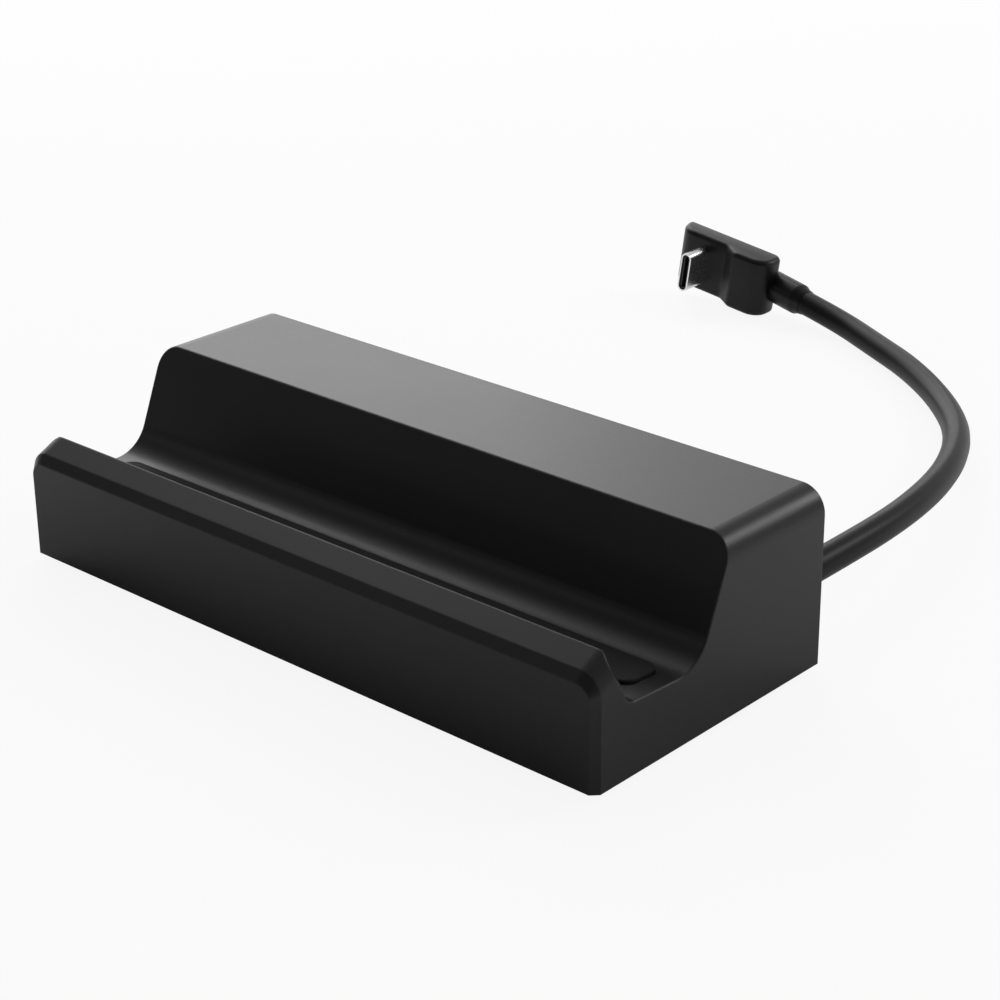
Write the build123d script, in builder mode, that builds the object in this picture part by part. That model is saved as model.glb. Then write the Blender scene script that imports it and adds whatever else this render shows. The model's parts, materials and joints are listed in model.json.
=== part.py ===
"""Handheld console dock with a captive cable and a right-angle plug.

A moulded housing with a tall ridge, a leaning backrest, a trough and a low front lip stands on a rubber
foot. A plate closes it from below. Inside, one board carries every socket of the back wall and the
header that the captive cable ends in.

Millimetres. +X is to the user's right, -Y is towards the user and +Z is up. The origin is on the table,
under the middle of the dock.
"""

import os
from math import pi, radians, sin, tan

from build123d import *

# Housing, outside
dock_length = 117.0
dock_depth = 50.5
dock_height = 29.0
foot_stand = 1.3
wall = 2.0
ridge_depth = 21.75
backrest_lean = 21.8
trough_radius = 6.5
cradle_height = 12.15
cradle_setback = 13.35
cradle_tilt = 3.0
lip_height = 20.5
lip_top_depth = 4.65
lip_slope = 26.5
lip_draft = 11.5
lip_blend = 2.5
front_bevel = 1.1
ridge_end_radius = 4.0
lip_end_radius = 3.5
lip_end_lean = 34.5
lip_end_cut = 4.0
edge_break = 0.15

# Housing, inside
rib_thickness = 1.2
rib_depth = 2.5
rib_count = 5
boss_width = 5.6
boss_web = 2.0
boss_height = 12.0
post_width = 5.0

# Clearances
fit_gap = 0.15
port_gap = 0.25
board_gap = 0.8
boss_gap = 0.6
screw_gap = 0.05
insert_gap = 0.05

# Rubber pads
pad_length = 111.4
pad_width = 8.6
pad_corner = 3.0
pad_recess = 0.6
pad_proud = 0.65
pad_edge = 0.3
foot_thickness = 2.0
foot_margin = 1.6
foot_corner = 4.0

# Base cover and screws
base_thickness = 2.0
screw_radius = 1.0
screw_head_radius = 1.9
screw_head_height = 1.2
screw_slot_length = 2.2
screw_slot_width = 0.5
screw_slot_depth = 0.6
screw_seat = 1.3
screw_bite = 4.8
base_screw_inset = 3.9
board_screw_inset = 18.5
board_screw_lead = 6.3
board_screw_bite = 2.7

# Board and what stands on it
board_top = 6.4
board_thickness = 1.2
chip_height = 1.0
hub_chip_size = 9.0
video_chip_size = 8.0
network_chip_size = 7.0
power_chip_size = 6.0
chip_spacing = 30.0
chip_row_setback = 13.0
thermal_pad_height = 0.7
spreader_thickness = 0.8
spreader_overhang = 6.0
spreader_width = 13.0
transformer_size = (12.0, 7.0, 3.2)
coil_size = (5.0, 5.0, 3.0)
capacitor_radius = 2.2
capacitor_height = 5.4
capacitor_pitch = 5.6
capacitor_count = 3
mid_row_lead = 1.0

# Sockets of the back wall
socket_recess = 0.4
shell_wall = 0.3
back_plate = 0.4
core_depth = 3.0
tongue_setback = 0.9
socket_corner = 0.5
network_size = (15.9, 13.4)
network_depth = 16.0
network_mouth = (11.9, 6.8)
network_key = (6.4, 1.4)
network_catch = (3.6, 1.3)
network_cavity_depth = 12.5
network_mouth_drop = 0.9
contact_count = 8
contact_pitch = 1.02
contact_width = 0.5
contact_thickness = 0.3
contact_setback = 4.0
contact_reach = 7.5
contact_drop = 3.2
data_count = 3
data_size = (5.7, 13.1)
data_depth = 14.0
data_tongue = (1.84, 11.1)
data_tongue_shift = 0.9
display_size = (16.6, 5.5)
display_depth = 12.0
display_corner_cut = 1.9
display_tongue = (12.4, 1.3)
video_size = (14.5, 5.5)
video_depth = 11.0
video_key_width = 1.6
video_key_height = 2.2
video_tongue = (10.6, 1.2)
power_size = (8.94, 3.2)
power_depth = 7.5
power_tongue = (6.7, 0.8)

# Cable, its sleeve and its header
cable_diameter = 4.85
cable_height = 9.8
cable_inset = 9.2
cable_bore_gap = 0.1
sleeve_flange_radius = 4.4
sleeve_flange_depth = 2.5
sleeve_radius = 3.2
sleeve_reach = 9.0
header_size = (8.0, 4.0)
header_cap = 0.4

# Cable route, counted from the point where it leaves the back wall
cable_steps = [
    (0.0, -4.25, 0.0),
    (0.0, 15.25, 0.0),
    (-2.0, 38.65, -1.1),
    (-8.3, 61.45, -3.3),
    (-18.4, 81.85, -5.6),
    (-31.1, 96.85, -7.0),
    (-45.5, 108.25, -7.3),
    (-58.6, 115.15, -7.3),
    (-70.8, 120.85, -6.8),
    (-80.2, 122.35, -5.5),
]
arc_share = 0.45

# Plug, counted along its straight back from its far end and forwards from that back
plug_turn = 2.1
plug_tilt = 8.2
plug_rest_gap = 0.1
plug_height = 12.2
plug_length = 23.5
plug_thin = 5.1
plug_thick = 7.2
plug_step = (12.9, 16.2)
plug_nose_set = 1.4
plug_nose_radius = 3.9
plug_end_radius = 3.6
plug_corner_radius = 1.1
plug_bevel = 0.8
plug_neck_radius = 3.15
plug_neck_length = 9.7
plug_boot_radius = 2.7
plug_boot_length = 1.8
plug_axis = (32.15, 2.65)
tip_along = 7.65
tip_drop = 0.3
tip_size = (8.25, 2.4)
tip_length = 6.2
tip_wall = 0.3
tip_cavity_depth = 5.4
tip_core_setback = 0.4
tip_slot = (6.7, 0.8)
tip_slot_depth = 4.2

# Levels and places that follow from the sizes above
half_length = dock_length / 2
half_depth = dock_depth / 2
base_top = foot_stand + base_thickness
foot_seat = foot_thickness
head_seat = foot_seat + screw_head_height + screw_gap
boss_seat = head_seat + screw_seat
board_bottom = board_top - board_thickness
ridge_front = half_depth - ridge_depth
cradle_y = cradle_setback - half_depth
socket_face = half_depth - socket_recess
inner_half_length = half_length - wall
inner_half_depth = half_depth - wall
cable_x = half_length - cable_inset
cable_radius = cable_diameter / 2
sleeve_inner_face = inner_half_depth - sleeve_flange_depth

boss_room = boss_width / 2 + boss_gap
base_screw_x = inner_half_length - base_screw_inset
base_screw_front = base_screw_inset - inner_half_depth
base_screw_rear = socket_face - network_depth - boss_room
base_screw_spots = [
    (side * base_screw_x, row) for side in (-1, 1) for row in (base_screw_front, base_screw_rear)
]
board_screw_x = inner_half_length - board_screw_inset
board_screw_spots = [(side * board_screw_x, ridge_front - board_screw_lead) for side in (-1, 1)]

# Sockets stand along the back wall with even gaps, from the left end wall to the cable's sleeve
socket_widths = [
    network_size[0],
    *[data_size[0]] * data_count,
    display_size[0],
    video_size[0],
    power_size[0],
]
socket_room = cable_x - sleeve_flange_radius + inner_half_length
socket_gap = (socket_room - sum(socket_widths)) / (len(socket_widths) + 1)
socket_x = [
    -inner_half_length + socket_gap * (place + 1) + sum(socket_widths[:place]) + width / 2
    for place, width in enumerate(socket_widths)
]
network_x = socket_x[0]
data_x = socket_x[1 : 1 + data_count]
display_x, video_x, power_x = socket_x[1 + data_count :]

os.makedirs("parts", exist_ok=True)


def save(part, label):
    """Label a finished piece and write it under that name."""
    part.label = label
    export_step(part, f"parts/{label}.step")


def wall_plane(depth=0.0):
    """Plane parallel to the back wall, a given depth inside the sockets' front face."""
    return Plane.XZ.offset(depth - socket_face)


# Side section of the housing, closed, from the front foot round to the back foot
def crossing(rise_a, start_a, rise_b, start_b):
    """Point where two lines y = start + rise * z cross."""
    height = (start_b - start_a) / (rise_a - rise_b)
    return (start_a + rise_a * height, height)


crest = (lip_top_depth - half_depth, lip_height)
lip_front = (-half_depth, lip_height - lip_top_depth * tan(radians(lip_slope)))
lip_rise = -tan(radians(lip_draft))
floor_rise = -1 / tan(radians(cradle_tilt))
backrest_rise = tan(radians(backrest_lean))
floor_start = cradle_y - floor_rise * cradle_height
lip_start = crest[0] - lip_rise * crest[1]
backrest_start = ridge_front - backrest_rise * dock_height
lip_foot = crossing(lip_rise, lip_start, floor_rise, floor_start)
backrest_foot = crossing(backrest_rise, backrest_start, floor_rise, floor_start)

with BuildSketch(Plane.YZ) as section:
    with BuildLine():
        Polyline(
            (-half_depth, foot_stand),
            lip_front,
            crest,
            lip_foot,
            backrest_foot,
            (ridge_front, dock_height),
            (half_depth, dock_height),
            (half_depth, foot_stand),
            close=True,
        )
    make_face()
    fillet(section.vertices().sort_by_distance(lip_foot)[0], lip_blend)
    fillet(section.vertices().sort_by_distance(backrest_foot)[0], trough_radius)

# Outside of the housing: rounded ends, a bevel round the front face and broken edges
with BuildPart() as outside:
    extrude(section.sketch, amount=half_length, both=True)
    fillet(outside.edges().filter_by(Axis.Y).group_by(Axis.Z)[-1], ridge_end_radius)
    lip_middle = ((lip_front[0] + crest[0]) / 2, (lip_front[1] + crest[1]) / 2)
    lip_ends = [
        outside.edges().sort_by_distance((side * half_length, *lip_middle))[0] for side in (-1, 1)
    ]
    fillet(lip_ends, lip_end_radius)
    chamfer(outside.faces().sort_by(Axis.Y)[0].edges().sort_by(Axis.Z)[1:], front_bevel)
    trough_edges = outside.edges().filter_by(
        lambda edge: crest[0] - edge_break < edge.center().Y < ridge_front + edge_break
        and edge.center().Z > base_top
    )
    long_edges = trough_edges.filter_by(Axis.X).sort_by(Axis.Z)
    chamfer(trough_edges.filter_by(Axis.X, reverse=True) + long_edges[-2:], edge_break)
    chamfer(outside.faces().sort_by(Axis.Y)[-1].edges().sort_by(Axis.Z)[1:], edge_break)
    # The lip's inner corners run off on a slope at both ends
    for side in (-1, 1):
        with BuildPart(mode=Mode.SUBTRACT):
            with Locations((side * half_length, lip_foot[0] + fit_gap, lip_foot[1])):
                Box(2 * lip_end_cut, lip_end_cut, dock_height, align=(Align.CENTER, Align.MAX, Align.MIN))
            slope = Plane(
                origin=(side * half_length, lip_foot[0] + fit_gap, lip_foot[1] + lip_blend / 2),
                z_dir=(side, 1, tan(radians(lip_end_lean))),
            )
            split(bisect_by=slope, keep=Keep.TOP)

# Hollow of the housing, left solid where its bosses, posts and ribs stand
with BuildPart() as hollow:
    with BuildSketch(Plane.YZ) as hollow_section:
        add(section.sketch_local)
        offset(amount=-wall, mode=Mode.REPLACE)
        with Locations((0, base_top)):
            Rectangle(2 * inner_half_depth, 2 * base_top)
    extrude(amount=inner_half_length, both=True)
    fillet(hollow.edges().filter_by(Axis.Y).group_by(Axis.Z)[-1], ridge_end_radius - wall)
    with BuildSketch(Plane.XY.offset(boss_seat)):
        for x, y in base_screw_spots:
            to_wall = base_screw_inset if x > 0 else -base_screw_inset
            with Locations((x, y)):
                Rectangle(boss_width, boss_width)
            with Locations((x + to_wall / 2, y)):
                Rectangle(base_screw_inset, boss_web)
    extrude(amount=boss_height, mode=Mode.SUBTRACT)
    with BuildSketch(Plane.XY.offset(board_top)):
        with Locations(*board_screw_spots):
            Rectangle(post_width, post_width)
    extrude(amount=dock_height, mode=Mode.SUBTRACT)
    with Locations((0, half_depth - ridge_depth / 2, dock_height - wall)):
        with GridLocations(dock_length / (rib_count + 1), 0, rib_count, 1):
            Box(rib_thickness, ridge_depth, 2 * rib_depth, mode=Mode.SUBTRACT)


def blunt_outline(plane, x, bottom, size):
    """Rectangle with blunted corners that stands on a level, seen from the back."""
    with BuildSketch(plane) as outline:
        with Locations((x, bottom + size[1] / 2)):
            Rectangle(*size)
        chamfer(outline.vertices(), socket_corner)
    return outline.sketch


def oval_outline(plane, x, bottom, size):
    """Flat oval with round ends."""
    with BuildSketch(plane) as outline:
        with Locations((x, bottom + size[1] / 2)):
            SlotOverall(*size)
    return outline.sketch


def keyed_outline(plane, x, bottom, size):
    """Rectangle whose two lower corners are cut back."""
    half, top = size[0] / 2, bottom + size[1]
    with BuildSketch(plane) as outline:
        with BuildLine():
            Polyline(
                (x - half, top),
                (x + half, top),
                (x + half, bottom + video_key_height),
                (x + half - video_key_width, bottom),
                (x - half + video_key_width, bottom),
                (x - half, bottom + video_key_height),
                close=True,
            )
        make_face()
    return outline.sketch


def cut_outline(plane, x, bottom, size):
    """Rectangle with one lower corner cut off."""
    with BuildSketch(plane) as outline:
        with Locations((x, bottom + size[1] / 2)):
            Rectangle(*size)
        chamfer(outline.vertices().group_by(Axis.Z)[0].sort_by(Axis.X)[0], display_corner_cut)
    return outline.sketch


network_outline = blunt_outline(wall_plane(), network_x, board_top, network_size)
data_outlines = [blunt_outline(wall_plane(), x, board_top, data_size) for x in data_x]
display_outline = cut_outline(wall_plane(), display_x, board_top, display_size)
video_outline = keyed_outline(wall_plane(), video_x, board_top, video_size)
power_outline = oval_outline(wall_plane(), power_x, board_top, power_size)

pad_plane = Plane(
    origin=(0, cradle_y, cradle_height),
    x_dir=(1, 0, 0),
    z_dir=Vector(0, 0, 1).rotate(Axis.X, -cradle_tilt),
)
exit_plane = Plane.XZ.offset(-half_depth)

# Upper housing
with BuildPart() as upper_housing:
    add(outside.part)
    add(hollow.part, mode=Mode.SUBTRACT)
    for outline in [network_outline, *data_outlines, display_outline, video_outline, power_outline]:
        port = offset(outline, amount=port_gap, kind=Kind.INTERSECTION, mode=Mode.PRIVATE)
        extrude(port, amount=2 * wall, both=True, mode=Mode.SUBTRACT)
    with BuildSketch(exit_plane):
        with Locations((cable_x, cable_height)):
            Circle(sleeve_radius + screw_gap)
    extrude(amount=2 * wall, both=True, mode=Mode.SUBTRACT)
    with BuildSketch(pad_plane):
        RectangleRounded(pad_length + 2 * fit_gap, pad_width + 2 * fit_gap, pad_corner + fit_gap)
    extrude(amount=pad_proud, mode=Mode.SUBTRACT)
    with BuildSketch(pad_plane):
        RectangleRounded(pad_length + 2 * fit_gap, pad_width + 2 * fit_gap, pad_corner + fit_gap)
    extrude(amount=-pad_recess, mode=Mode.SUBTRACT)
    with BuildSketch(Plane.XY.offset(boss_seat)):
        with Locations(*base_screw_spots):
            Circle(screw_radius + screw_gap)
    extrude(amount=screw_bite + fit_gap, mode=Mode.SUBTRACT)
    with BuildSketch(Plane.XY.offset(board_top)):
        with Locations(*board_screw_spots):
            Circle(screw_radius + screw_gap)
    extrude(amount=board_screw_bite + fit_gap, mode=Mode.SUBTRACT)
save(upper_housing.part, "upper_housing")

# Rubber strip in the trough
with BuildPart() as cradle_pad:
    with BuildSketch(pad_plane.offset(-pad_recess)):
        RectangleRounded(pad_length, pad_width, pad_corner)
    extrude(amount=pad_recess + pad_proud)
    chamfer(cradle_pad.faces().sort_by(Axis.Z)[-1].edges(), pad_edge)
save(cradle_pad.part, "cradle_pad")

# Base cover with a seat for the foot, screw pillars and props under the sockets
foot_size = (2 * (inner_half_length - fit_gap - foot_margin), 2 * (inner_half_depth - fit_gap - foot_margin))
prop_spots = [
    ((left + right) / 2, socket_face - power_depth) for left, right in zip(socket_x[::2], socket_x[1::2])
]

with BuildPart() as base_cover:
    with BuildSketch(Plane.XY.offset(foot_stand)):
        Rectangle(2 * (inner_half_length - fit_gap), 2 * (inner_half_depth - fit_gap))
    extrude(amount=base_thickness)
    with BuildSketch(Plane.XY.offset(base_top)):
        with Locations(*base_screw_spots):
            Rectangle(boss_width, boss_width)
    extrude(amount=boss_seat - base_top)
    with BuildSketch(Plane.XY.offset(base_top)):
        with Locations(*prop_spots):
            Rectangle(post_width, post_width)
    extrude(amount=board_bottom - base_top)
    with BuildSketch(Plane.XY.offset(foot_stand)):
        RectangleRounded(foot_size[0] + 2 * fit_gap, foot_size[1] + 2 * fit_gap, foot_corner + fit_gap)
    extrude(amount=foot_seat - foot_stand, mode=Mode.SUBTRACT)
    with BuildSketch(Plane.XY.offset(foot_seat)):
        with Locations(*base_screw_spots):
            Circle(screw_head_radius + fit_gap)
    extrude(amount=head_seat - foot_seat, mode=Mode.SUBTRACT)
    with BuildSketch(Plane.XY.offset(head_seat)):
        with Locations(*base_screw_spots):
            Circle(screw_radius + screw_gap)
    extrude(amount=screw_seat, mode=Mode.SUBTRACT)
save(base_cover.part, "base_cover")

with BuildPart() as foot_pad:
    with BuildSketch():
        RectangleRounded(*foot_size, foot_corner)
    extrude(amount=foot_thickness)
save(foot_pad.part, "foot_pad")


def make_screws(label, spots, seat, bite):
    """Group of like screws whose heads lie under a seat and whose shanks run up through it."""
    with BuildPart() as screws:
        with BuildSketch(Plane.XY.offset(seat - screw_head_height)):
            with Locations(*spots):
                Circle(screw_head_radius)
        extrude(amount=screw_head_height)
        with BuildSketch(Plane.XY.offset(seat)):
            with Locations(*spots):
                Circle(screw_radius)
        extrude(amount=bite)
        with BuildSketch(Plane.XY.offset(seat - screw_head_height)):
            with Locations(*spots):
                Rectangle(screw_slot_length, screw_slot_width)
                Rectangle(screw_slot_width, screw_slot_length)
        extrude(amount=screw_slot_depth, mode=Mode.SUBTRACT)
    save(screws.part, label)


make_screws("base_screws", base_screw_spots, head_seat, screw_seat + screw_bite)
make_screws("board_screws", board_screw_spots, board_bottom, board_thickness + board_screw_bite)

# Board, notched round the base screws' bosses and the cable's sleeve
with BuildPart() as main_board:
    with BuildSketch(Plane.XY.offset(board_bottom)):
        Rectangle(2 * (inner_half_length - board_gap), 2 * (inner_half_depth - board_gap))
        with Locations(*base_screw_spots):
            Rectangle(2 * boss_room, 2 * boss_room, mode=Mode.SUBTRACT)
        with Locations(*board_screw_spots):
            Circle(screw_radius + fit_gap, mode=Mode.SUBTRACT)
        with Locations((cable_x, inner_half_depth)):
            Rectangle(
                2 * (sleeve_flange_radius + boss_gap),
                2 * (sleeve_flange_depth + boss_gap),
                mode=Mode.SUBTRACT,
            )
    extrude(amount=board_thickness)
save(main_board.part, "main_board")


def make_shell(label, outline, depth):
    """Steel shell of a socket: a tube open at the back wall and closed by a plate inside."""
    bore = offset(outline, amount=-shell_wall, kind=Kind.INTERSECTION)
    with BuildPart() as shell:
        extrude(outline, amount=depth)
        extrude(bore, amount=depth - back_plate, mode=Mode.SUBTRACT)
    save(shell.part, label)


def make_tongue(label, outline, depth, x, height, size):
    """Plastic core at the bottom of a shell, with the flat tongue that a plug goes round."""
    core = offset(outline, amount=-shell_wall - insert_gap, kind=Kind.INTERSECTION)
    reach = depth - back_plate
    with BuildPart() as tongue:
        extrude(core, amount=reach)
        extrude(core, amount=reach - core_depth, mode=Mode.SUBTRACT)
        with BuildSketch(wall_plane(tongue_setback)):
            with Locations((x, height)):
                Rectangle(*size)
        extrude(amount=reach - tongue_setback)
    save(tongue.part, label)


for number, (x, outline) in enumerate(zip(data_x, data_outlines), start=1):
    make_shell(f"data_socket_shell_{number}", outline, data_depth)
    make_tongue(
        f"data_socket_tongue_{number}",
        outline,
        data_depth,
        x + data_tongue_shift,
        board_top + data_size[1] / 2,
        data_tongue,
    )

make_shell("display_socket_shell", display_outline, display_depth)
make_tongue(
    "display_socket_tongue",
    display_outline,
    display_depth,
    display_x,
    board_top + display_size[1] / 2,
    display_tongue,
)
make_shell("video_socket_shell", video_outline, video_depth)
make_tongue(
    "video_socket_tongue", video_outline, video_depth, video_x, board_top + video_size[1] / 2, video_tongue
)
make_shell("power_inlet_shell", power_outline, power_depth)
make_tongue(
    "power_inlet_tongue", power_outline, power_depth, power_x, board_top + power_size[1] / 2, power_tongue
)

# Network jack: shielded shell, an insert with the stepped mouth, and a row of slanted contact springs
make_shell("network_jack_shell", network_outline, network_depth)
mouth_height = network_mouth[1] + network_key[1] + network_catch[1]
mouth_top = board_top + (network_size[1] + mouth_height) / 2 - network_mouth_drop
mouth_bottom = mouth_top - network_mouth[1]

with BuildPart() as network_jack_insert:
    extrude(
        offset(
            network_outline,
            amount=-shell_wall - insert_gap,
            kind=Kind.INTERSECTION,
            mode=Mode.PRIVATE,
        ),
        amount=network_depth - back_plate,
    )
    with BuildSketch(wall_plane()):
        with Locations((network_x, mouth_top - network_mouth[1] / 2)):
            Rectangle(*network_mouth)
        with Locations((network_x, mouth_bottom - network_key[1] / 2)):
            Rectangle(*network_key)
        with Locations((network_x, mouth_bottom - network_key[1] - network_catch[1] / 2)):
            Rectangle(*network_catch)
    extrude(amount=network_cavity_depth, mode=Mode.SUBTRACT)
save(network_jack_insert.part, "network_jack_insert")

# Each spring runs forwards along the roof of the mouth and bends back down into it
spring_start = socket_face - contact_setback
spring_root = socket_face - network_cavity_depth + insert_gap
with BuildPart() as contact_spring:
    with BuildSketch(Plane.YZ):
        with Locations(((spring_start + spring_root) / 2, mouth_top - contact_thickness / 2)):
            Rectangle(spring_start - spring_root, contact_thickness)
        with BuildLine():
            Polyline(
                (spring_start, mouth_top),
                (spring_start - contact_reach, mouth_top - contact_drop),
                (spring_start - contact_reach, mouth_top - contact_drop - contact_thickness),
                (spring_start, mouth_top - contact_thickness),
                close=True,
            )
        make_face()
    extrude(amount=contact_width / 2, both=True)

with BuildPart() as network_jack_contacts:
    with Locations((network_x, 0)):
        with GridLocations(contact_pitch, 0, contact_count, 1):
            add(contact_spring.part)
save(network_jack_contacts.part, "network_jack_contacts")


def make_block(label, x, y, bottom, size):
    """Plain block that stands on a level."""
    with BuildPart() as block:
        with BuildSketch(Plane.XY.offset(bottom)):
            with Locations((x, y)):
                Rectangle(size[0], size[1])
        extrude(amount=size[2])
    save(block.part, label)


# Chips in a row under the trough; the two large ones pass their heat to a spreader plate
chip_y = chip_row_setback - half_depth
chip_x = chip_spacing / 2
make_block("hub_chip", -chip_x, chip_y, board_top, (hub_chip_size, hub_chip_size, chip_height))
make_block("video_chip", chip_x, chip_y, board_top, (video_chip_size, video_chip_size, chip_height))
pad_bottom = board_top + chip_height
for number, (x, size) in enumerate(((-chip_x, hub_chip_size), (chip_x, video_chip_size)), start=1):
    make_block(f"thermal_pad_{number}", x, chip_y, pad_bottom, (size, size, thermal_pad_height))
make_block(
    "heat_spreader",
    0,
    chip_y,
    pad_bottom + thermal_pad_height,
    (chip_spacing + hub_chip_size + 2 * spreader_overhang, spreader_width, spreader_thickness),
)
side_chip_x = (board_screw_x + inner_half_length) / 2
make_block(
    "network_chip", -side_chip_x, chip_y, board_top, (network_chip_size, network_chip_size, chip_height)
)
make_block("power_chip", side_chip_x, chip_y, board_top, (power_chip_size, power_chip_size, chip_height))

# Taller parts in the row behind the trough
mid_y = ridge_front - mid_row_lead
make_block("network_transformer", network_x + network_size[0], mid_y, board_top, transformer_size)
for number, x in enumerate((video_x, power_x), start=1):
    make_block(f"power_coil_{number}", x, mid_y, board_top, coil_size)

with BuildPart() as bulk_capacitors:
    with BuildSketch(Plane.XY.offset(board_top)):
        with Locations((display_x, mid_y)):
            with GridLocations(capacitor_pitch, 0, capacitor_count, 1):
                Circle(capacitor_radius)
    extrude(amount=capacitor_height)
save(bulk_capacitors.part, "bulk_capacitors")

# Cable: header on the board, inner end, sleeve in the wall and the free length
header_face = base_screw_rear + boss_room + header_size[1]
make_block(
    "cable_header",
    cable_x,
    header_face - header_size[1] / 2,
    board_top,
    (*header_size, cable_height + cable_radius + header_cap - board_top),
)

exit_point = Vector(cable_x, half_depth, cable_height)
cable_points = [exit_point + Vector(*step) for step in cable_steps]
tail_end = cable_points[0].Y

with BuildPart() as cable_tail:
    with BuildSketch(Plane.XZ.offset(-tail_end)):
        with Locations((cable_x, cable_height)):
            Circle(cable_radius)
    extrude(amount=tail_end - header_face)
save(cable_tail.part, "cable_tail")

with BuildPart() as cable_sleeve:
    with BuildSketch(Plane.XY.offset(cable_height)):
        with BuildLine():
            bore_x = cable_x + cable_radius + cable_bore_gap
            Polyline(
                (bore_x, sleeve_inner_face),
                (cable_x + sleeve_flange_radius, sleeve_inner_face),
                (cable_x + sleeve_flange_radius, inner_half_depth),
                (cable_x + sleeve_radius, inner_half_depth),
                (cable_x + sleeve_radius, half_depth + sleeve_reach),
                (bore_x, half_depth + sleeve_reach),
                close=True,
            )
        make_face()
    revolve(axis=Axis((cable_x, 0, cable_height), (0, 1, 0)))
save(cable_sleeve.part, "cable_sleeve")

cable_runs = [end - start for start, end in zip(cable_points, cable_points[1:])]
cable_radii = [
    arc_share * min(before.length, after.length) / tan(radians(before.get_angle(after) / 2))
    for before, after in zip(cable_runs, cable_runs[1:])
]
with BuildPart() as data_cable:
    with BuildLine() as cable_line:
        FilletPolyline(*cable_points, radius=cable_radii)
    with BuildSketch(Plane(origin=cable_points[0], z_dir=cable_runs[0])):
        Circle(cable_radius)
    sweep()
save(data_cable.part, "data_cable")

cable_length = cable_line.wires()[0].length
print("cable radii", [round(radius, 1) for radius in cable_radii])
print("cable length", round(cable_length, 2))
section_times_length = pi * cable_radius**2 * cable_length
print("cable volume over section times length", round(data_cable.part.volume / section_times_length, 4))

# Plug: a straight back, a round nose, a thin stretch with the tip and a thick stretch with the neck.
# It leans on its cable end, nose up
plug_along = Vector(1, 0, 0).rotate(Axis.Y, plug_tilt).rotate(Axis.Z, plug_turn)
plug_up = Vector(0, 0, 1).rotate(Axis.Y, plug_tilt).rotate(Axis.Z, plug_turn)
plug_front = Vector(0, -1, 0).rotate(Axis.Z, plug_turn)
plug_entry = cable_points[-1]
plug_middle = plug_entry - plug_along * plug_axis[0] - plug_front * plug_axis[1]
plug_corner = plug_middle - plug_up * (plug_height / 2)
plug_lift = plug_rest_gap + (plug_length - plug_bevel) * sin(radians(plug_tilt)) - plug_corner.Z
plug_corner = plug_corner + Vector(0, 0, plug_lift)
plug_base = Plane(origin=plug_corner, x_dir=plug_along, z_dir=plug_up)
tip_level = plug_height / 2 - tip_drop
tip_root = plug_corner + plug_along * tip_along + plug_front * plug_thin + plug_up * tip_level
tip_plane = Plane(origin=tip_root, x_dir=plug_along, z_dir=plug_front)

with BuildPart() as plug_body:
    with BuildSketch(plug_base) as plug_plan:
        with BuildLine():
            Polyline(
                (0, 0),
                (plug_length, 0),
                (plug_length, -plug_thick),
                (plug_step[1], -plug_thick),
                (plug_step[0], -plug_thin),
                (plug_nose_set, -plug_thin),
                close=True,
            )
        make_face()
        fillet(plug_plan.vertices().sort_by_distance((plug_length, -plug_thick))[0], plug_end_radius)
        fillet(plug_plan.vertices().sort_by_distance((plug_length, 0))[0], plug_corner_radius)
        fillet(plug_plan.vertices().sort_by_distance((plug_nose_set, -plug_thin))[0], plug_nose_radius)
        fillet(plug_plan.vertices().sort_by_distance((0, 0))[0], plug_corner_radius)
    extrude(amount=plug_height)
    chamfer(plug_body.faces().sort_by(Axis.Z)[-1].edges(), plug_bevel)
    chamfer(plug_body.faces().sort_by(Axis.Z)[0].edges(), plug_bevel)
    with BuildSketch(Plane(origin=plug_entry, z_dir=cable_runs[-1])) as neck_start:
        Circle(plug_boot_radius)
    with BuildSketch(Plane(origin=plug_entry, z_dir=cable_runs[-1]).offset(plug_boot_length)) as neck_end:
        Circle(plug_neck_radius)
    loft([neck_start.sketch.face(), neck_end.sketch.face()])
    extrude(neck_end.sketch, amount=plug_neck_length - plug_boot_length)
save(plug_body.part, "plug_body")

# Steel tip and the plastic core that fills it up to a narrow slot
with BuildPart() as plug_shell:
    with BuildSketch(tip_plane):
        SlotOverall(*tip_size, rotation=90)
    extrude(amount=tip_length)
    with BuildSketch(tip_plane.offset(tip_length)):
        SlotOverall(tip_size[0] - 2 * tip_wall, tip_size[1] - 2 * tip_wall, rotation=90)
    extrude(amount=-tip_cavity_depth, mode=Mode.SUBTRACT)
save(plug_shell.part, "plug_shell")

core_gap = tip_wall + insert_gap
with BuildPart() as plug_insert:
    with BuildSketch(tip_plane.offset(tip_length - tip_cavity_depth)):
        SlotOverall(tip_size[0] - 2 * core_gap, tip_size[1] - 2 * core_gap, rotation=90)
    extrude(amount=tip_cavity_depth - tip_core_setback)
    with BuildSketch(tip_plane.offset(tip_length - tip_core_setback)):
        Rectangle(tip_slot[1], tip_slot[0])
    extrude(amount=-tip_slot_depth, mode=Mode.SUBTRACT)
save(plug_insert.part, "plug_insert")
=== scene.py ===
"""Handheld console dock on a pale studio floor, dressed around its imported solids.

Lengths are in metres in the frame of the solids: +X along the dock to the right, -Y towards the user,
+Z up, with the origin on the table under the middle of the dock.
"""

import json
import logging
import math
from dataclasses import dataclass, field
from enum import Enum
from typing import Any, Dict, List, Mapping, Optional, Sequence, Tuple, Union

import bmesh
import bpy
from mathutils import Matrix, Vector


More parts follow.
